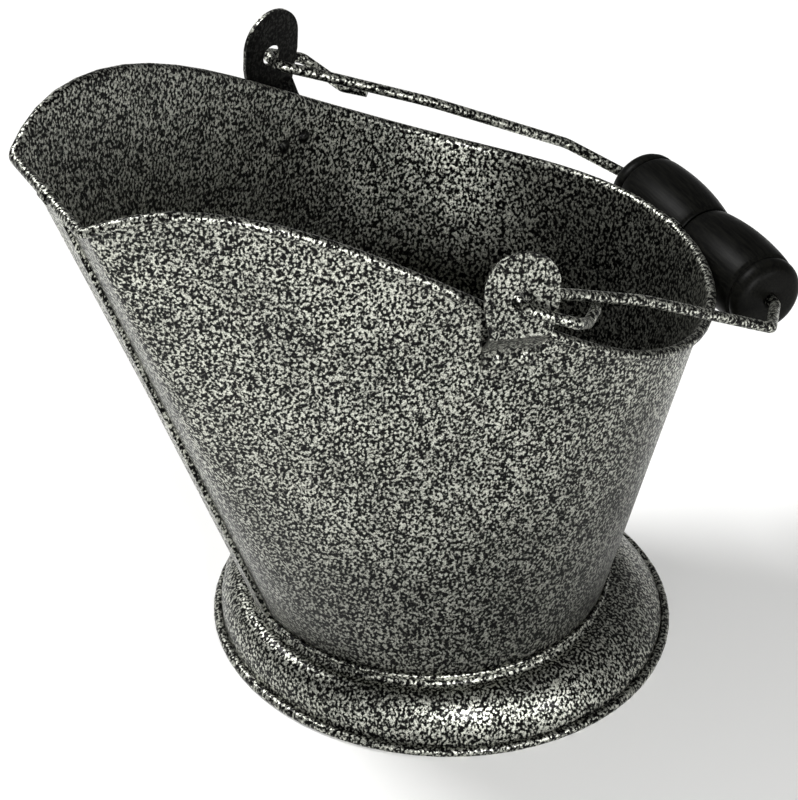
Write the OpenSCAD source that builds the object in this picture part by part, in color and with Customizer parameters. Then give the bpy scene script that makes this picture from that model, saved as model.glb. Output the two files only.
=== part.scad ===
// Coal scuttle with a pouring lip, a flared foot and a swinging bail.
// X runs from the lip (-X) to the rear (+X), Z is up.
// The origin is the centre of the foot's rolled edge, on the floor. Millimetres.

/* [Foot] */
// Width across the foot's rolled edge
foot_d = 244; // [236:1:256]
// Height of the ledge that the body stands on
foot_h = 36; // [32:0.5:42]
// How far the body stands forward of the foot's centre
body_forward = 10; // [4:0.5:12]
// Sheet thickness of the foot
foot_sheet = 1.2; // [1:0.1:1.4]
// How far the ledge stands out past the body
ledge_out = 2.5; // [1.5:0.1:3.5]
// Height of the neck that reaches up into the body
neck_h = 7; // [5:0.5:10]

/* [Body] */
// Width across the body's bottom edge
base_d = 189; // [180:1:196]
// Sheet thickness of the body
sheet = 0.8; // [0.6:0.1:1]
// Widest part of the mouth, between the edges' centres
mouth_d = 243; // [234:1:250]
// How far the mouth's round rear is centred behind the foot
mouth_back = 10; // [6:0.5:14]
// Height of the mouth's edge at the rear
mouth_rear_h = 205.5; // [195:0.5:215]
// Height of the mouth's edge at its crest
mouth_crest_h = 337; // [325:0.5:345]
// How late the edge starts to rise from the rear (1 = evenly)
rise_delay = 1.14; // [1:0.01:1.3]

/* [Lip] */
// Reach of the lip in front of the foot's centre
lip_reach = 220; // [210:0.5:228]
// Length of the lip's straight front edge
lip_w = 70; // [60:1:80]
// Radius of the lip's two corners
lip_corner_r = 7; // [6:0.5:10]
// Angle at which the mouth's sides leave the lip
lip_flare = 42.5; // [38:0.5:46]
// How far the crest lies behind the lip's edge
crest_back = 35; // [30:1:45]
// How far the lip dips below the crest
lip_drop = 12.5; // [8:0.5:16]

/* [Rolled edges] */
// Width of the bead rolled round the mouth and the foot
bead_d = 5.4; // [5:0.1:6]
// Gap between a rolled edge and the wire inside it
wire_gap = 0.1; // [0.08:0.01:0.15]

/* [Seams] */
// Width of the strip that closes each seam
seam_w = 11; // [10:0.5:14]
// Gap between the two halves of the body
half_gap = 0.4; // [0.3:0.05:0.6]
// Gap between folded layers of a seam
fold_gap = 0.05; // [0.03:0.01:0.08]

/* [Ears] */
// Width of an ear
ear_w = 36.4; // [35:0.2:38]
// Thickness of an ear
ear_t = 2; // [1.6:0.1:2.4]
// Place of the ears, in front of the foot's centre
ear_forward = 38; // [34:0.5:42]
// How far an ear's plate stands outside the rolled edge
ear_out = 9.2; // [8.4:0.1:10]
// Height of an ear above the centre of its hole
ear_above_hole = 25.6; // [25:0.2:28]
// Length of the tab below the mouth's edge
ear_tab = 38; // [36:0.5:42]
// Hole that the bail hangs in
ear_hole_d = 11; // [10:0.5:12]
// Diameter of an ear rivet's shank
rivet_d = 4.8; // [4:0.1:5.2]
// Distance between an ear's two rivets
rivet_pitch = 14; // [13:0.5:15]

/* [Bail] */
// Diameter of the bail wire
wire_d = 5.6; // [5.2:0.1:6]
// Height of the bail's hinge line above the mouth's edge beside it
hinge_rise = 14.9; // [14:0.1:16]
// Gap between the grip and the rolled edge when the bail swings past it
swing_gap = 0.8; // [0.6:0.1:1.6]
// Gap between the grip and the rear seam when the bail is down
rest_gap = 3.5; // [3:0.1:4.4]
// How far the arms of the bail bow up from a straight line
arm_bow = 4; // [2:0.5:5]
// Radius of the bends in the wire
bend_r = 6; // [5.5:0.1:6.5]
// Length of the eye that closes round an ear
eye_l = 56; // [55:0.5:59]

/* [Grip] */
// Length of one wooden barrel
barrel_l = 64; // [62:0.5:65]
// Thickest part of a barrel
barrel_d = 44.4; // [43.6:0.2:45.4]
// Thickness of a barrel at its ends
barrel_end_d = 37.2; // [36.4:0.2:38]
// Radius that rounds a barrel's ends
barrel_round = 3; // [2.5:0.5:4]
// Gap between the wire and a barrel's bore, all round
bore_gap = 0.08; // [0.05:0.01:0.1]
// Gap between neighbouring barrels, and between barrel and bend
barrel_gap = 0.4; // [0.3:0.1:0.6]

/* [Hidden] */

$fn = 64;
steel = [0.36, 0.37, 0.34];
dark_steel = [0.2, 0.2, 0.19];
wire_steel = [0.55, 0.55, 0.52];
black_wood = [0.07, 0.07, 0.06];

bead_r = bead_d / 2;
base_r = base_d / 2;
mouth_r = mouth_d / 2;
mouth_rear_x = mouth_back + mouth_r;
crest_x = crest_back - lip_reach;
lip_h = mouth_crest_h - lip_drop;

// Where the lip's corners, the sides and the rear begin on the body's bottom edge
corner_start = 168;
corner_end = 152;
rear_start = 90;

lip_steps = 5;
corner_steps = 4;
side_steps = 16;
rear_steps = 17;
side_pull_front = 0.214 * mouth_d;
side_pull_rear = 0.2016 * mouth_d;

// The curl of a rolled edge, in turns of 30 degrees round its wire
curl = [for (k = [0:10]) 180 - 30 * k];
full_turn = [for (k = [0:11]) 30 * k];

// ---- The mouth's edge ----

function smooth(u) = u * u * (3 - 2 * u);

// Height of the mouth's edge above the floor, at a place along X
function edge_h(x) =
    let (u = pow(max(0, min(1, (mouth_rear_x - x) / (mouth_rear_x - crest_x))), rise_delay),
         dip = max(0, (crest_x - x) / (crest_x + lip_reach)))
    mouth_rear_h + (mouth_crest_h - mouth_rear_h) * smooth(u) - lip_drop * dip * dip;

function bezier(p, t) =
    pow(1 - t, 3) * p[0] + 3 * pow(1 - t, 2) * t * p[1] + 3 * (1 - t) * t * t * p[2] + pow(t, 3) * p[3];

corner_turn = 90 - lip_flare;
side_front = [lip_corner_r * (1 - cos(corner_turn)) - lip_reach,
              lip_w / 2 + lip_corner_r * sin(corner_turn)];
side_rear = [mouth_back, mouth_r];
side_curve = [side_front,
              side_front + side_pull_front * [cos(lip_flare), sin(lip_flare)],
              side_rear - [side_pull_rear, 0],
              side_rear];

// Each stop on the right half of the mouth: [x, y, angle of the same stop on the bottom edge]
stops = concat(
    [for (k = [0:lip_steps - 1])
        [-lip_reach, max(half_gap / 2, lip_w / 2 * k / lip_steps),
         180 + (corner_start - 180) * k / lip_steps]],
    [for (k = [0:corner_steps - 1])
        let (a = corner_turn * k / corner_steps)
        [lip_corner_r * (1 - cos(a)) - lip_reach, lip_w / 2 + lip_corner_r * sin(a),
         corner_start + (corner_end - corner_start) * k / corner_steps]],
    [for (k = [0:side_steps - 1])
        let (q = bezier(side_curve, k / side_steps))
        [q[0], q[1], corner_end + (rear_start - corner_end) * k / side_steps]],
    [for (k = [0:rear_steps])
        let (a = rear_start * (1 - k / rear_steps))
        [mouth_back + mouth_r * cos(a), max(half_gap / 2, mouth_r * sin(a)), a]]);
last = len(stops) - 1;

function edge(k) = [stops[k][0], stops[k][1], edge_h(stops[k][0])];
function unit(v) = v / norm(v);

// Direction along the edge; straight across at both seams
function along(k) = k == 0 ? [0, 1, 0] : k == last ? [0, -1, 0] : unit(edge(k + 1) - edge(k - 1));
// Level direction out of the mouth
function out(k) = unit([-along(k)[1], along(k)[0], 0]);
function up(k) = cross(along(k), out(k));
// A point on a circle round the edge's centre: 0 degrees is out of the mouth, 90 is up
function round_edge(k, r, a) = edge(k) + r * (cos(a) * out(k) + sin(a) * up(k));

// A point on the bottom edge, at a radius from the body's axis
function bottom(k, r) =
    let (a = stops[k][2])
    [r * cos(a) - body_forward, k == 0 || k == last ? half_gap / 2 : r * sin(a), foot_h];

// ---- Skins made from rings of points ----

// Two triangles between a pair of neighbouring rings, split the same way on both faces of a sheet
function strip(a, b, j, n) =
    let (i = (j + 1) % n)
    j < n / 2 - 1 ? [[a + j, b + j, b + i], [a + j, b + i, a + i]]
                  : [[a + j, b + j, a + i], [b + j, b + i, a + i]];

// Cap over a ring whose second half runs back beside its first, in small faces from one half to the other
function cap(n) = [for (j = [0:n / 2 - 2]) [j, j + 1, n - 2 - j, n - 1 - j]];

// Closed tube through rings of the same even number of points, with both ends capped
module skin(rings) {
    n = len(rings[0]);
    m = len(rings);
    polyhedron(
        points = [for (r = rings) each r],
        faces = concat(
            cap(n),
            [for (i = [0:m - 2], j = [0:n - 1]) each strip(i * n, (i + 1) * n, j, n)],
            [for (f = cap(n)) [for (k = [3:-1:0]) (m - 1) * n + f[k]]]));
}

// The same, but the last ring joins the first
module closed_skin(rings) {
    n = len(rings[0]);
    m = len(rings);
    polyhedron(
        points = [for (r = rings) each r],
        faces = [for (i = [0:m - 1], j = [0:n - 1]) each strip(i * n, ((i + 1) % m) * n, j, n)]);
}

// ---- Body ----

// Wall and rolled edge of one half, cut from one sheet
module half_sheet() {
    skin([for (k = [0:last])
        concat([bottom(k, base_r)],
               [for (a = curl) round_edge(k, bead_r - sheet, a)],
               [for (j = [len(curl) - 1:-1:0]) round_edge(k, bead_r, curl[j])],
               [bottom(k, base_r - sheet)])]);
}

// Outer line of the wall on the seam: [bottom, top] in X and Z; side is -1 at the front
function seam_line(side) = side < 0
    ? [[-body_forward - base_r, foot_h], [bead_r - sheet - lip_reach, lip_h]]
    : [[base_r - body_forward, foot_h], [mouth_rear_x - bead_r + sheet, mouth_rear_h]];

// Slab that follows the seam line, between two heights above the wall, from gap_low to gap_high short of the ends
module seam_slab(side, low, high, gap_low, gap_high, y0, y1) {
    line = seam_line(side);
    d = unit(line[1] - line[0]);
    away = -side * [-d[1], d[0]];
    a = line[0] + gap_low * d;
    b = line[1] - gap_high * d;
    across(y0, y1) polygon([a + low * away, b + low * away, b + high * away, a + high * away]);
}

// Turns an outline in X and Z into a solid between two places along Y
module across(y0, y1) {
    translate([0, y1, 0])
        rotate([90, 0, 0])
            linear_extrude(y1 - y0) children();
}

seam_foot_gap = 2;
seam_top_gap = 6;
fold_w = seam_w / 2 - sheet - 0.3;
// Width of the strip's turned-over end
wrap_w = 7;

// Folded-back edge of the right half, hooked under the seam strip
module seam_hook(side) {
    edge_y = half_gap / 2 + 0.05;
    seam_slab(side, -0.7 * sheet, 2 * sheet - fold_gap, seam_foot_gap + 1, seam_top_gap, edge_y, edge_y + sheet);
    seam_slab(side, sheet + fold_gap, 2 * sheet - fold_gap, seam_foot_gap + 1, seam_top_gap, edge_y, fold_w);
}

module right_side() {
    color(steel) difference() {
        union() {
            half_sheet();
            seam_hook(-1);
            seam_hook(1);
        }
        right_rivet_shanks(rivet_d + 0.1);
    }
}

module left_side() {
    mirror([0, 1, 0]) right_side();
}

// Strip folded over both halves' edges, with its top end turned over the rolled edge
module seam_strip(side) {
    centre = side < 0 ? [-lip_reach, lip_h] : [mouth_rear_x, mouth_rear_h];
    line = seam_line(side);
    d = unit(line[1] - line[0]);
    away = -side * [-d[1], d[0]];
    wrap_r = bead_r + 0.2;
    seam_slab(side, 2 * sheet, 3 * sheet, seam_foot_gap, 2.5, -seam_w / 2, seam_w / 2);
    for (s = [-1, 1]) {
        edge_y = [s * seam_w / 2, s * (seam_w / 2 - sheet)];
        lip_y = [s * seam_w / 2, s * (half_gap / 2 + sheet + 0.5)];
        seam_slab(side, fold_gap, 2.5 * sheet, seam_foot_gap, seam_top_gap, min(edge_y), max(edge_y));
        seam_slab(side, fold_gap, sheet, seam_foot_gap, seam_top_gap, min(lip_y), max(lip_y));
    }
    across(-wrap_w / 2, wrap_w / 2) difference() {
        translate(centre) circle(wrap_r + 0.8 * sheet);
        translate(centre) circle(wrap_r);
        polygon([centre - 0.01 * away, centre - 0.01 * away - 12 * d,
                 centre - 12 * away - 12 * d, centre - 12 * away]);
    }
}

module front_seam_strip() {
    color(steel) seam_strip(-1);
}

module rear_seam_strip() {
    color(steel) seam_strip(1);
}

// Wire that stiffens the mouth, one ring inside both halves' rolled edges
module rim_wire() {
    r = bead_r - sheet - wire_gap;
    half = [for (k = [0:last]) [for (a = full_turn) round_edge(k, r, a)]];
    color(wire_steel) closed_skin(concat(
        half,
        [for (k = [last:-1:0]) [for (p = half[k]) [p[0], -p[1], p[2]]]]));
}

// ---- Bottom and foot ----

neck_r = base_r - sheet - 0.15;
shoulder_r = base_r + 3.5;
shoulder_h = foot_h - 6.4;
foot_bead_r = foot_d / 2 - bead_r;
// The rolled edge stands on a narrow flat
foot_bead_h = bead_r - 0.25;
skirt_r = foot_bead_r - bead_r + foot_sheet;
foot_curl = [for (k = [0:10]) 180 + 30 * k];
skirt_steps = 7;
ring_steps = 60;
// The foot's flat steps come closer to its wire than its corners do
foot_wire_gap = wire_gap + 0.15;

// Skirt from the shoulder down to the rolled edge, a little flatter than a quarter ellipse
skirt_flatness = 1.23;
function skirt(inset, a) =
    [shoulder_r + (skirt_r - shoulder_r - inset) * pow(sin(a), skirt_flatness),
     foot_bead_h + (shoulder_h - foot_bead_h - inset) * pow(cos(a), skirt_flatness)];

// Section through the foot: [radius, height]
foot_section = concat(
    [[neck_r - foot_sheet, foot_h + neck_h],
     [neck_r, foot_h + neck_h],
     [neck_r, foot_h - 0.1],
     [base_r + ledge_out - 0.5, foot_h - 0.1],
     [base_r + ledge_out, foot_h - 0.7],
     [base_r + ledge_out - 0.5, foot_h - 1.3],
     [base_r + 0.3, foot_h - 1.8],
     [base_r - 0.3, foot_h - 4.2],
     [base_r + 1.2, shoulder_h - 0.1]],
    [for (k = [0:skirt_steps - 1]) skirt(0, 90 * k / skirt_steps)],
    [for (a = foot_curl) [foot_bead_r + (bead_r - foot_sheet) * cos(a), foot_bead_h + (bead_r - foot_sheet) * sin(a)]],
    [for (k = [len(foot_curl) - 1:-1:0])
        [foot_bead_r + bead_r * cos(foot_curl[k]), foot_bead_h + bead_r * sin(foot_curl[k])]],
    [for (k = [skirt_steps - 1:-1:0]) skirt(foot_sheet, 90 * k / skirt_steps)],
    [[base_r - 1.6, foot_h - 6.2],
     [neck_r - foot_sheet, foot_h - 3]]);

// The foot's rings step forward from the rolled edge up to the shoulder
function foot_shift(h) = -body_forward * max(0, min(1, (h - 6) / (shoulder_h - 6)));

module foot_ring() {
    color(steel) difference() {
        closed_skin([for (k = [0:ring_steps - 1])
            let (a = 360 * k / ring_steps)
            [for (p = foot_section) [foot_shift(p[1]) + p[0] * cos(a), p[0] * sin(a), p[1]]]]);
        translate([0, 0, -5]) cylinder(h = 5, d = foot_d + 10);
    }
}

// Wire inside the foot's rolled edge
module foot_wire() {
    color(wire_steel)
        translate([0, 0, foot_bead_h])
            rotate_extrude()
                translate([foot_bead_r, 0]) circle(bead_r - foot_sheet - foot_wire_gap);
}

// Flat bottom that sits on the foot's neck, with a turned-down edge inside it
module bottom_plate() {
    edge_r = neck_r - foot_sheet - 0.3;
    color(dark_steel)
        translate([-body_forward, 0, foot_h + neck_h]) {
            cylinder(h = sheet, r = neck_r + 0.1);
            difference() {
                translate([0, 0, -5]) cylinder(h = 5.5, r = edge_r);
                translate([0, 0, -6]) cylinder(h = 6, r = edge_r - sheet);
            }
        }
}

// ---- Ears ----

// Stop on the mouth's edge at a place along X, part of the way between two of the stops above
function stop_at(x) =
    let (s = [for (k = [1:last]) if (stops[k - 1][0] <= x && stops[k][0] > x) k][0],
         f = (x - stops[s - 1][0]) / (stops[s][0] - stops[s - 1][0]))
    stops[s - 1] + f * (stops[s] - stops[s - 1]);
function edge_at(x) = [x, stop_at(x)[1], edge_h(x)];

// Centre of the rolled edge beside an ear, and the foot of the wall below it
ear_place = edge_at(-ear_forward);
hinge_h = ear_place[2] + hinge_rise;
// Height of an ear's hole above the mouth's edge; the wire lies at the bottom of the hole
wire_seat = 0.35;
hole_rise = hinge_rise + ear_hole_d / 2 - wire_d / 2 - wire_seat;
ear_rise = hole_rise + ear_above_hole;
ear_angle = stop_at(-ear_forward)[2];
below_ear = [base_r * cos(ear_angle) - body_forward, base_r * sin(ear_angle), foot_h];
wall_face = cross(edge_at(1 - ear_forward) - edge_at(-1 - ear_forward), ear_place - below_ear);
// Turn of an ear, so that it follows the wall
ear_turn = atan(-wall_face[0] / wall_face[1]);
// How far the wall stands in per millimetre below the mouth's edge
wall_lean = (ear_place[1] - below_ear[1]) / (ear_place[2] - foot_h);
ear_lean = -0.03;
ear_clear = bead_r + ear_out;
// Depths between which an ear slopes in from its upright plate to the wall
jog_high = 2;
jog_low = 18.5;
tab_w = 28;
tab_corner_r = 6;
// Heights above and below the mouth's edge between which an ear narrows to its tab
ear_waist = 15;
ear_neck = 8;
rivet_drop = 27;

// Distance of the tab's back from the centre of the rolled edge, at a depth below it
function tab_back(depth) = sheet - bead_r - wall_lean * depth + 0.35;

// Puts an ear's own frame in place: X along the wall, Y out, Z up, origin beside the rolled edge's centre
module at_right_ear() {
    translate(ear_place)
        rotate([0, 0, ear_turn])
            translate([ear_clear * tan(ear_turn), 0, 0])
                children();
}

module right_ear_plate() {
    difference() {
        at_right_ear() intersection() {
            // section: tab on the wall, step round the rolled edge, upright plate
            rotate([90, 0, 90])
                linear_extrude(ear_w, center = true)
                    polygon([[tab_back(ear_tab), -ear_tab],
                             [tab_back(jog_low), -jog_low],
                             [ear_clear, -jog_high],
                             [ear_clear + ear_lean * ear_rise, ear_rise],
                             [ear_clear + ear_t + ear_lean * ear_rise, ear_rise],
                             [ear_clear + ear_t, -jog_high - 1],
                             [tab_back(jog_low + 1) + ear_t, -jog_low - 1],
                             [tab_back(ear_tab) + ear_t, -ear_tab]]);
            // outline: round head, straight sides, narrow tab with round corners
            translate([0, 20, 0])
                rotate([90, 0, 0]) {
                    translate([0, ear_rise - ear_w / 2]) cylinder(h = 40, d = ear_w);
                    linear_extrude(40)
                        polygon([[-ear_w / 2, ear_rise - ear_w / 2], [-ear_w / 2, ear_waist],
                                 [-tab_w / 2, -ear_neck], [-tab_w / 2, tab_corner_r - ear_tab],
                                 [tab_corner_r - tab_w / 2, -ear_tab], [tab_w / 2 - tab_corner_r, -ear_tab],
                                 [tab_w / 2, tab_corner_r - ear_tab], [tab_w / 2, -ear_neck],
                                 [ear_w / 2, ear_waist], [ear_w / 2, ear_rise - ear_w / 2]]);
                    for (s = [-1, 1])
                        translate([s * (tab_w / 2 - tab_corner_r), tab_corner_r - ear_tab])
                            cylinder(h = 40, r = tab_corner_r);
                }
        }
        translate([-ear_forward, 0, ear_place[2] + hole_rise])
            rotate([-90, 0, 0])
                cylinder(h = mouth_d, d = ear_hole_d);
        right_rivet_shanks(rivet_d + 0.1);
    }
}

module right_ear() {
    color(steel) right_ear_plate();
}

module left_ear() {
    color(steel) mirror([0, 1, 0]) right_ear_plate();
}

// Puts a rivet's own frame in place: Z out of the wall, origin on the tab's outer face
module at_right_rivets() {
    at_right_ear()
        for (s = [-1, 1])
            translate([s * rivet_pitch / 2, tab_back(rivet_drop) + ear_t, -rivet_drop])
                rotate([-90 - atan(wall_lean), 0, 0])
                    children();
}

module right_rivet_shanks(d) {
    at_right_rivets() translate([0, 0, -8]) cylinder(h = 9, d = d);
}

head_d = 9;
head_h = 1.9;

// Round head of a rivet, cut from a ball
module rivet_head(d, h) {
    ball_r = (d * d / 4 + h * h) / (2 * h);
    intersection() {
        translate([0, 0, h - ball_r]) sphere(ball_r);
        cylinder(h = h + 1, d = d + 1);
    }
}

module right_rivets() {
    grip = ear_t + sheet + 1.1;
    at_right_rivets() {
        translate([0, 0, 0.05]) rivet_head(head_d, head_h);
        translate([0, 0, -grip - 0.5]) cylinder(h = grip + 0.6, d = rivet_d);
        translate([0, 0, -grip]) mirror([0, 0, 1]) rivet_head(7, 1.3);
    }
}

module ear_rivets() {
    color(dark_steel) {
        right_rivets();
        mirror([0, 1, 0]) right_rivets();
    }
}

// ---- Bail ----

// Distance from the hinge line at which the grip just swings past the mouth's edge, at a place across the scuttle
function swing_past(y, r) =
    norm([mouth_back + sqrt(mouth_r * mouth_r - y * y) + ear_forward, hinge_h - mouth_rear_h])
    + bead_r + r + swing_gap;
// Radius of a barrel at a place along it
function barrel_r(y) = barrel_d / 2 - (barrel_d - barrel_end_d) / 2 * pow(2 * y / barrel_l - 1, 2);
wrap_t = 0.2 + 0.8 * sheet;
bail_reach = max([swing_past(0, barrel_r(0) + wrap_t),
                  for (k = [1:8]) swing_past(barrel_l * k / 8, barrel_r(barrel_l * k / 8))]);

// The slope of the bail when the grip lies against the rear seam
rear_line = seam_line(1);
rear_way = unit(rear_line[1] - rear_line[0]);
hinge_depth = cross(rear_way, [-ear_forward, hinge_h] - rear_line[0]);
rest_depth = 3 * sheet + barrel_end_d / 2 + rest_gap;
bail_slope = atan(rear_way[0] / rear_way[1]) + acos((hinge_depth + rest_depth) / bail_reach);

// Half spacings of the bail, across the scuttle
plate_y = ear_place[1] + (ear_clear + ear_t / 2 + ear_lean * hinge_rise) / cos(ear_turn);
eye_inner_y = plate_y - 8;
eye_outer_y = plate_y + 6.4;
eye_reach_y = plate_y + 11.2;
arm_start_y = 112;
arm_mid_y = 105;
corner_y = 99.5;
// Distances along the bail from its hinge line
arm_start = 34;
arm_mid = 90;
corner_at = bail_reach - 27.5;
// The eye runs past the ear's edge, then turns in under the arm
eye_past = 27;
eye_turn = eye_l - 9;
eye_drop = 5;
// Radius of the gentle curves in the arms, and of the bends in the eye
arm_r = 150;
eye_r = 5.5;
grip_half = 2 * barrel_l / 2 + 1.5 * barrel_gap;
shoulder_trim = 3;
shoulder_y = grip_half + shoulder_trim;

function arm_rise(s) = arm_bow * 4 * (s / corner_at) * (1 - s / corner_at);

// Half of the wire: [distance along the bail, distance across, height above the bail's plane, bend radius]
right_half_path = [[bail_reach, shoulder_y, 0, bend_r],
                   [corner_at, corner_y, 0, bend_r],
                   [arm_mid, arm_mid_y, arm_rise(arm_mid), arm_r],
                   [arm_start, arm_start_y, arm_rise(arm_start), arm_r],
                   [0, eye_inner_y, 0, eye_r],
                   [0, eye_outer_y, 0, eye_r],
                   [eye_past, eye_reach_y, 0, eye_r],
                   [eye_turn, arm_start_y + 11, -eye_drop, eye_r],
                   [eye_l, arm_start_y + 2, -0.3 * eye_drop, 0]];
bail_path = concat([for (k = [len(right_half_path) - 1:-1:0])
                        let (p = right_half_path[k])
                        [p[0], -p[1], p[2], p[3]]],
                   right_half_path);

bend_lap = 0.3;
bend_swell = 0.02;

function point(p) = [p[0], p[1], p[2]];

// Moves a shape into a frame given by its origin and its three directions
module in_frame(o, a, b, c) {
    multmatrix([[a[0], b[0], c[0], o[0]], [a[1], b[1], c[1], o[1]], [a[2], b[2], c[2], o[2]], [0, 0, 0, 1]])
        children();
}

// Round wire along a path, with a round bend at each of its points
module wire(path, r) {
    n = len(path) - 1;
    way = [for (k = [0:n - 1]) unit(point(path[k + 1]) - point(path[k]))];
    turn = [for (k = [0:n]) k == 0 || k == n ? 0 : acos(way[k - 1] * way[k])];
    trim = [for (k = [0:n]) path[k][3] * tan(turn[k] / 2)];
    // Each straight length runs a little way into the bends at its ends
    start = [for (t = trim) max(0, t - bend_lap)];
    for (k = [0:n - 1]) {
        side = unit(cross(way[k], abs(way[k][2]) < 0.9 ? [0, 0, 1] : [1, 0, 0]));
        in_frame(point(path[k]) + start[k] * way[k], side, cross(way[k], side), way[k])
            cylinder(h = norm(point(path[k + 1]) - point(path[k])) - start[k] - start[k + 1], r = r);
    }
    for (k = [1:n - 1])
        if (turn[k] > 0.01) {
            inward = unit(way[k] - (way[k] * way[k - 1]) * way[k - 1]);
            centre = point(path[k]) - trim[k] * way[k - 1] + path[k][3] * inward;
            in_frame(centre, -inward, way[k - 1], cross(-inward, way[k - 1]))
                rotate_extrude(angle = turn[k])
                    translate([path[k][3], 0]) circle(r + bend_swell);
        }
}

// Puts the bail's own plane in place: X along the bail from the hinge line, Y across the scuttle
module at_bail() {
    translate([-ear_forward, 0, hinge_h]) rotate([0, bail_slope, 0]) children();
}

module bail() {
    color(wire_steel) at_bail() wire(bail_path, wire_d / 2);
}

// Barrel of turned wood with a through bore; Z along its axis
module barrel() {
    swell = (barrel_d - barrel_end_d) / 2;
    bow_r = (barrel_l * barrel_l / 4 + swell * swell) / (2 * swell);
    end_r = sqrt(bow_r * bow_r - pow(barrel_l / 2 - barrel_round, 2)) - bow_r + barrel_d / 2;
    difference() {
        rotate_extrude(convexity = 4) {
            intersection() {
                translate([barrel_d / 2 - bow_r, barrel_l / 2]) circle(bow_r, $fn = 360);
                translate([0, barrel_round]) square([barrel_d, barrel_l - 2 * barrel_round]);
            }
            square([end_r - barrel_round, barrel_l]);
            for (z = [barrel_round, barrel_l - barrel_round])
                translate([end_r - barrel_round, z]) circle(barrel_round);
        }
        translate([0, 0, -1]) cylinder(h = barrel_l + 2, r = wire_d / 2 + bore_gap);
    }
}

module right_grip() {
    color(black_wood) at_bail()
        translate([bail_reach, barrel_gap / 2, 0])
            rotate([-90, 0, 0])
                barrel();
}

module left_grip() {
    mirror([0, 1, 0]) right_grip();
}

right_side();
left_side();
front_seam_strip();
rear_seam_strip();
rim_wire();
bottom_plate();
foot_ring();
foot_wire();
right_ear();
left_ear();
ear_rivets();
bail();
right_grip();
left_grip();
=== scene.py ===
import math

import bpy
from mathutils import Matrix, Vector


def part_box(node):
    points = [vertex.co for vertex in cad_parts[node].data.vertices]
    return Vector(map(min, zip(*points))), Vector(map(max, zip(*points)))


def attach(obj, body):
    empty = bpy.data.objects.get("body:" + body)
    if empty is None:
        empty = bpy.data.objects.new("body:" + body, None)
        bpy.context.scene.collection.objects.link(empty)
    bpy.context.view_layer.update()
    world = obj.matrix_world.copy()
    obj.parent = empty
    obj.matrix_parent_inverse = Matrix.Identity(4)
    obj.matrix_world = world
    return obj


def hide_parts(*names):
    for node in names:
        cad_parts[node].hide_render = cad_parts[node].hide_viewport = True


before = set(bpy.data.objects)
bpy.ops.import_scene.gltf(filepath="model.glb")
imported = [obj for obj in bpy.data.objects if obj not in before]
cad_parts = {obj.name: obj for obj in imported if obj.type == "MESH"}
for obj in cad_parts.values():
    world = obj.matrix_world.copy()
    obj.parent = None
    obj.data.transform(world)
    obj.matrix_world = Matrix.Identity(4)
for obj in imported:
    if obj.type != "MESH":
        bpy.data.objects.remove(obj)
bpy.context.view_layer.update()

# The camera, fitted to the photograph: its place in metres, its three directions and its lens
CAMERA_PLACE = (-0.80057, -1.34821, 1.24153)
CAMERA_RIGHT = (0.87542, -0.48287, 0.02179)
CAMERA_UP = (0.26266, 0.51305, 0.81719)
CAMERA_BACK = (-0.40577, -0.70966, 0.57596)
FOCAL_LENGTH_MM = 167.97
SENSOR_WIDTH_MM = 36

# Spots of a random pattern to a metre
VEINS = 680
GLINTS = 1400
CLOUDS = 26
STEEL_MARKS = 180
WOOD_GRAIN = 900
WOOD_CLOUDS = 60

# Depths of the paint's veins and of the marks in wire and wood, in metres
VEIN_DEPTH = 0.0006
MARK_DEPTH = 0.0003

# Heights in metres between which the painted shade low on the wall fades out upwards, and between
# which it begins
LOW_SHADE_FADES = (0.035, 0.2)
LOW_SHADE_BEGINS = (0.036, 0.04)

# About one over the ears' distance from the middle plane, in metres
PER_EAR_DISTANCE = 8

# Points that lie closer than this, in metres, are one point
SAME_POINT = 0.00001

# The clinched bead at the collar, in metres: its ring's radius, its own radius and its height,
# and the size and depth of the waves that make it uneven
BEAD_RING = 0.0958
BEAD_RADIUS = 0.0011
BEAD_HEIGHT = 0.0365
BEAD_WAVES = 0.006
BEAD_UNEVENNESS = 0.0012

# Half section of a barrel, in millimetres: place from its inner end, and radius. It runs from the
# bore's inner end round the outside to its outer end, with the turner's groove near the outer end
BARREL_SECTION = [
    (0.9, 2.95), (0.3, 4.2), (0, 6), (0, 15.9), (0.4, 17.4), (1.3, 18.5), (3, 19.15), (8, 20.1),
    (14, 21), (20, 21.65), (26, 22.02), (32, 22.15), (38, 22.02), (44, 21.65), (48, 21.3),
    (51.2, 20.85), (52.3, 20.5), (53, 19.7), (53.7, 19.35), (54.4, 19.7), (55.2, 20.15),
    (57, 20.2), (59, 19.85), (61, 18.95), (62.6, 17.4), (63.6, 15.3),
    (64, 12.5), (64, 7), (63.7, 5.2), (62.9, 3.6), (61.9, 2.95)]
BARREL_POINTS_ROUND = 96
MM_PER_METRE = 1000


# ---- Camera, floor and light ----

def place_camera():
    """The camera stands in front of the near ear and looks down into the mouth."""
    lens = bpy.data.cameras.new("camera")
    lens.sensor_fit = "HORIZONTAL"
    lens.sensor_width = SENSOR_WIDTH_MM
    lens.lens = FOCAL_LENGTH_MM
    camera = bpy.data.objects.new("camera", lens)
    bpy.context.scene.collection.objects.link(camera)
    turn = Matrix((CAMERA_RIGHT, CAMERA_UP, CAMERA_BACK)).transposed().to_4x4()
    camera.matrix_world = Matrix.Translation(CAMERA_PLACE) @ turn
    bpy.context.scene.camera = camera


def lay_floor():
    """A pale floor under the foot."""
    bpy.ops.mesh.primitive_plane_add(size=14)
    floor = bpy.context.object
    floor.name = "floor"
    pale = Paint("pale_floor", {"Base Color": (0.86, 0.86, 0.85, 1), "Roughness": 0.9})
    floor.data.materials.append(pale.material)


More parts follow.
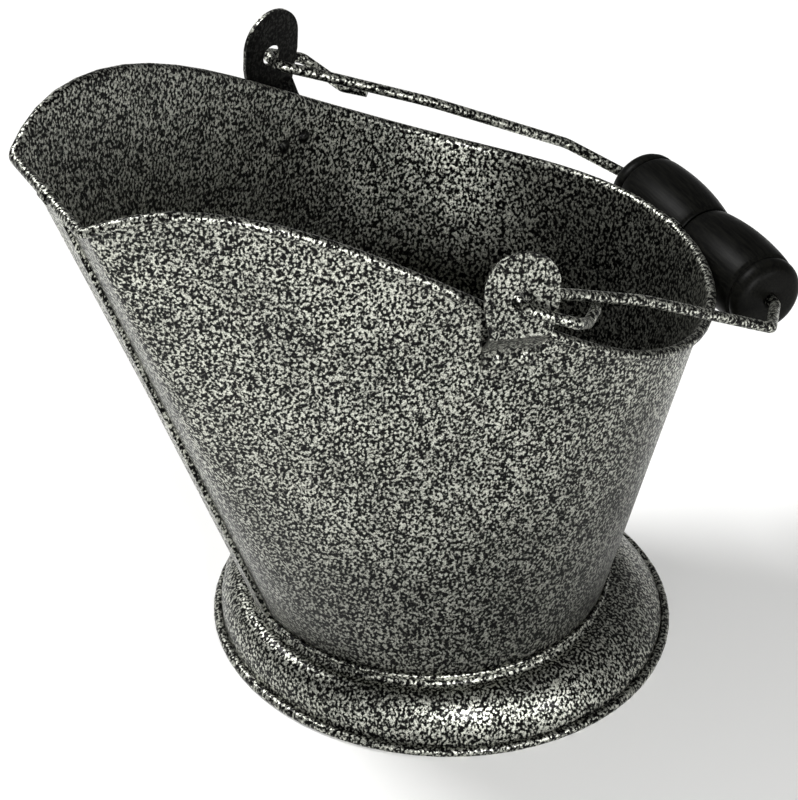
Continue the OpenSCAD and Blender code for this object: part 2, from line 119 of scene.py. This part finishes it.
def soft_light(name, place, aim, size, watts):
    """A round lamp that faces the point it is aimed at."""
    lamp = bpy.data.lights.new(name, "AREA")
    lamp.shape = "DISK"
    lamp.size = size
    lamp.energy = watts
    holder = bpy.data.objects.new(name, lamp)
    holder.location = place
    way = Vector(aim) - Vector(place)
    holder.rotation_euler = way.to_track_quat("-Z", "Y").to_euler()
    bpy.context.scene.collection.objects.link(holder)


def light_studio():
    """A weak white sky, a strong lamp above and behind, one in front, and two weak ones."""
    world = bpy.data.worlds.new("studio")
    world.use_nodes = True
    sky = world.node_tree.nodes["Background"]
    sky.inputs["Color"].default_value = (1, 1, 1, 1)
    sky.inputs["Strength"].default_value = 0.2
    bpy.context.scene.world = world
    bpy.context.scene.view_settings.view_transform = "Standard"
    soft_light("back_light", place=(-0.85, 1.05, 2.0), aim=(0, 0, 0.05), size=0.9, watts=62)
    soft_light("front_light", place=(-0.45, -2.15, 0.95), aim=(0, 0, 0.05), size=0.42, watts=56)
    soft_light("left_light", place=(-2.0, -1.8, 0.44), aim=(0, 0, 0.2), size=1.0, watts=9)
    soft_light("right_light", place=(1.05, -2.25, 0.7), aim=(0, 0, 0.1), size=0.5, watts=20)


# ---- Materials ----

class Value:
    """A number that varies over a surface; sums and products of such numbers add Math nodes."""

    def __init__(self, paint, socket):
        self.paint = paint
        self.socket = socket

    def work(self, operation, *terms):
        made = self.paint.node("ShaderNodeMath", {"operation": operation}, dict(enumerate(terms)))
        return Value(self.paint, made.outputs[0])

    def __add__(self, other):
        return self.work("ADD", self, other)

    def __radd__(self, other):
        return self.work("ADD", other, self)

    def __sub__(self, other):
        return self.work("SUBTRACT", self, other)

    def __rsub__(self, other):
        return self.work("SUBTRACT", other, self)

    def __mul__(self, other):
        return self.work("MULTIPLY", self, other)

    def __rmul__(self, other):
        return self.work("MULTIPLY", other, self)

    def __pow__(self, other):
        return self.work("POWER", self, other)


class Paint:
    """A material whose shader is built from nodes, with what is the same all over given first."""

    def __init__(self, name, inputs):
        self.material = bpy.data.materials.new(name)
        self.material.use_nodes = True
        self.tree = self.material.node_tree
        self.shader = self.tree.nodes["Principled BSDF"]
        self.put(self.shader, inputs)

    def put(self, node, inputs):
        """Sets or links the sockets of a node."""
        for key, value in inputs.items():
            socket = node.inputs[key]
            if isinstance(value, Value):
                self.tree.links.new(value.socket, socket)
            elif isinstance(value, bpy.types.NodeSocket):
                self.tree.links.new(value, socket)
            else:
                socket.default_value = value

    def node(self, kind, settings, inputs):
        """Adds a node: its settings first, then the numbers or links of its sockets."""
        made = self.tree.nodes.new(kind)
        for key, value in settings.items():
            setattr(made, key, value)
        self.put(made, inputs)
        return made

    def point(self, output="Object"):
        """Where a point of the surface is, in metres, or with "Normal" which way it faces."""
        return self.node("ShaderNodeTexCoord", {}, {}).outputs[output]

    def part(self, vector, axis):
        """The share of a place or direction along one axis."""
        split = self.node("ShaderNodeSeparateXYZ", {}, {"Vector": vector})
        return Value(self, split.outputs[axis])

    def noise(self, scale, detail=2.0, roughness=0.5, stretch=(1, 1, 1)):
        """Smooth random spots, about 1/scale metres wide."""
        place = self.node("ShaderNodeMapping", {}, {"Vector": self.point(), "Scale": stretch})
        made = self.node("ShaderNodeTexNoise", {}, {
            "Vector": place.outputs["Vector"], "Scale": scale,
            "Detail": detail, "Roughness": roughness})
        return Value(self, made.outputs["Fac"])

    def step(self, value, low, high):
        """0 below low, 1 above high, and smooth between them."""
        made = self.node("ShaderNodeMapRange", {"interpolation_type": "SMOOTHSTEP"},
                         {"Value": value, "From Min": low, "From Max": high})
        return Value(self, made.outputs["Result"])

    def mix(self, share, first, second):
        """A colour between two colours."""
        made = self.node("ShaderNodeMix", {"data_type": "RGBA"}, {0: share, 6: first, 7: second})
        return made.outputs[2]

    def inner_face_shade(self):
        """1 where a surface faces away from the middle plane, a quarter where it faces it:
        painted shade on the inner faces.
        """
        facing = self.part(self.point("Normal"), "Y")
        away = facing * self.part(self.point(), "Y") * PER_EAR_DISTANCE
        return 0.25 + 0.75 * self.step(away, low=-0.7, high=0.1)

    def low_wall_shade(self):
        """1 just above the collar, where shade is painted into the colour, and 0 high on the wall
        and on the foot.
        """
        height = self.part(self.point(), "Z")
        return (1 - self.step(height, *LOW_SHADE_FADES)) * self.step(height, *LOW_SHADE_BEGINS)

    def bump(self, height, strength, distance):
        """Raises the surface where height is large."""
        made = self.node("ShaderNodeBump", {}, {
            "Height": height, "Strength": strength, "Distance": distance})
        self.put(self.shader, {"Normal": made.outputs["Normal"]})


def vein_paint(name, silver, shade_inside=False):
    """Baked vein paint: bright silver worms on a black ground, both about a millimetre wide."""
    paint = Paint(name, {"Metallic": 1.0, "Coat Weight": 0.1, "Coat Roughness": 0.2})
    vein = paint.noise(VEINS, detail=1.3, stretch=(1, 1, 0.8))
    worm = paint.step(vein, low=0.39, high=0.63)
    # Painted shade: faces toward the middle plane keep only a quarter of their silver
    if shade_inside:
        worm = worm * paint.inner_face_shade()
    # Painted shade: the silver is dulled low on the wall, just above the collar
    worm = worm * (1 - 0.3 * paint.low_wall_shade())
    cloud = paint.step(paint.noise(CLOUDS), low=0.35, high=0.65)
    glint = paint.step(paint.noise(GLINTS, detail=1.0), low=0.33, high=0.67)
    ground = (0.002, 0.002, 0.002, 1)
    dull = (0.2 * silver, 0.205 * silver, 0.18 * silver, 1)
    bright = (0.78 * silver, 0.79 * silver, 0.7 * silver, 1)
    flake = paint.mix(0.75 * glint + 0.25 * cloud, dull, bright)
    paint.put(paint.shader, {
        "Base Color": paint.mix(worm ** 2, ground, flake),
        "Roughness": 0.5 - worm * 0.08})
    paint.bump(vein, strength=0.3, distance=VEIN_DEPTH)
    return paint.material


def bare_steel():
    """Drawn steel wire where it lies hidden in the rolled edges."""
    paint = Paint("bare_steel", {"Metallic": 1.0})
    mark = paint.noise(STEEL_MARKS, detail=3.0)
    dark = (0.2, 0.2, 0.19, 1)
    light = (0.5, 0.5, 0.48, 1)
    paint.put(paint.shader, {
        "Base Color": paint.mix(mark, dark, light),
        "Roughness": 0.3 + mark * 0.3})
    paint.bump(mark, strength=0.2, distance=MARK_DEPTH)
    return paint.material


def black_wood():
    """Turned wood under satin black paint, with its grain along the wire just showing."""
    paint = Paint("black_wood", {"Specular IOR Level": 0.04})
    grain = paint.noise(WOOD_GRAIN, detail=3.0, roughness=0.6, stretch=(1, 0.07, 1))
    cloud = paint.noise(WOOD_CLOUDS)
    deep = (0.001, 0.001, 0.001, 1)
    worn = (0.005, 0.005, 0.004, 1)
    paint.put(paint.shader, {
        "Base Color": paint.mix(paint.step(grain, low=0.3, high=0.75), deep, worn),
        "Roughness": 0.3 + cloud * 0.2})
    paint.bump(grain, strength=0.2, distance=MARK_DEPTH)
    return paint.material


# ---- Pieces ----

def only(piece):
    """Makes one piece the only one selected, and active."""
    bpy.ops.object.select_all(action="DESELECT")
    piece.select_set(True)
    bpy.context.view_layer.objects.active = piece


def fair_copy(node, name, material, body, angle=40):
    """A smooth piece in place of a plain solid: the same shape with its points merged."""
    piece = bpy.data.objects.new(name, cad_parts[node].data.copy())
    bpy.context.scene.collection.objects.link(piece)
    only(piece)
    bpy.ops.mesh.customdata_custom_splitnormals_clear()
    bpy.ops.object.mode_set(mode="EDIT")
    bpy.ops.mesh.select_all(action="SELECT")
    bpy.ops.mesh.remove_doubles(threshold=SAME_POINT)
    bpy.ops.object.mode_set(mode="OBJECT")
    bpy.ops.object.shade_smooth_by_angle(angle=math.radians(angle))
    piece.data.materials.clear()
    piece.data.materials.append(material)
    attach(piece, body)
    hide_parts(node)


def finish_node(node, material):
    """Gives a solid that stays as it is its material."""
    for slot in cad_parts[node].material_slots:
        slot.material = material


def turned_barrel(node, name, body, side, material):
    """One barrel of the grip, drawn out of a circle ring by ring as on a lathe."""
    low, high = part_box(node)
    centre_x = (low[0] + high[0]) / 2
    centre_z = (low[2] + high[2]) / 2
    inner_y = low[1] if side > 0 else high[1]

    def ring_centre(along):
        return Vector((centre_x, inner_y + side * along / MM_PER_METRE, centre_z))

    along, radius = BARREL_SECTION[0]
    bpy.ops.object.select_all(action="DESELECT")
    bpy.ops.mesh.primitive_circle_add(
        vertices=BARREL_POINTS_ROUND, radius=radius / MM_PER_METRE, location=ring_centre(along),
        rotation=(math.pi / 2, 0, 0))
    barrel = bpy.context.object
    barrel.name = name
    bpy.ops.object.mode_set(mode="EDIT")
    bpy.ops.mesh.select_mode(type="VERT")
    bpy.ops.mesh.select_all(action="SELECT")
    for next_along, next_radius in BARREL_SECTION[1:]:
        step = side * (next_along - along) / MM_PER_METRE
        growth = next_radius / radius
        bpy.ops.mesh.extrude_region_move(TRANSFORM_OT_translate={"value": (0, step, 0)})
        bpy.ops.transform.resize(
            value=(growth, 1, growth), center_override=ring_centre(next_along))
        along, radius = next_along, next_radius
    # The two open ends of the bore are joined by its wall
    bpy.ops.mesh.select_all(action="DESELECT")
    bpy.ops.mesh.select_mode(type="EDGE")
    bpy.ops.mesh.select_non_manifold()
    bpy.ops.mesh.bridge_edge_loops()
    bpy.ops.mesh.select_all(action="SELECT")
    bpy.ops.mesh.normals_make_consistent(inside=False)
    bpy.ops.object.mode_set(mode="OBJECT")
    bpy.ops.object.transform_apply(location=True, rotation=True, scale=True)
    bpy.ops.object.shade_smooth_by_angle(angle=math.radians(50))
    barrel.data.materials.append(material)
    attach(barrel, body)
    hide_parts(node)


def collar_bead(material):
    """The uneven bead where the body's bottom edge is clinched on the foot's ledge."""
    low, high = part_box("bottom_plate")
    bpy.ops.object.select_all(action="DESELECT")
    bpy.ops.mesh.primitive_torus_add(
        major_segments=300, minor_segments=12, major_radius=BEAD_RING, minor_radius=BEAD_RADIUS,
        location=((low[0] + high[0]) / 2, (low[1] + high[1]) / 2, BEAD_HEIGHT))
    bead = bpy.context.object
    bead.name = "collar_bead"
    waves = bpy.data.textures.new("bead_waves", "CLOUDS")
    waves.noise_scale = BEAD_WAVES
    uneven = bead.modifiers.new("uneven", "DISPLACE")
    uneven.texture = waves
    uneven.strength = BEAD_UNEVENNESS
    bpy.ops.object.transform_apply(location=True, rotation=True, scale=True)
    bpy.ops.object.modifier_apply(modifier=uneven.name)
    bpy.ops.object.shade_smooth()
    bead.data.materials.append(material)
    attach(bead, "bucket")


place_camera()
light_studio()
lay_floor()

vein = vein_paint("vein_paint", silver=0.88)
# A dimmer copy of the vein paint, with its inner faces darker still: painted shade on the ears
# and the rivet heads
shaded_ear_vein = vein_paint("ear_vein_paint", silver=0.65, shade_inside=True)
# A brighter copy of the vein paint: painted highlight on the seam strips, the collar bead and the
# bail
wire = vein_paint("lit_wire_vein_paint", silver=1.2)
steel = bare_steel()
wood = black_wood()

fair_copy("right_side", "right_wall", vein, "bucket")
fair_copy("left_side", "left_wall", vein, "bucket")
fair_copy("foot_ring", "flared_foot", vein, "bucket", angle=60)
fair_copy("front_seam_strip", "front_seam", wire, "bucket")
fair_copy("rear_seam_strip", "rear_seam", wire, "bucket")
fair_copy("right_ear", "right_ear_stamping", shaded_ear_vein, "bucket")
fair_copy("left_ear", "left_ear_stamping", shaded_ear_vein, "bucket")
fair_copy("ear_rivets", "rivet_heads", shaded_ear_vein, "bucket", angle=50)
# The collar bead takes the brighter paint as a painted highlight
collar_bead(wire)
fair_copy("bail", "bail_wire", wire, "bail")
turned_barrel("right_grip", "right_barrel", "right_grip", 1, wood)
turned_barrel("left_grip", "left_barrel", "left_grip", -1, wood)
finish_node("bottom_plate", vein)
finish_node("rim_wire", steel)
finish_node("foot_wire", steel)
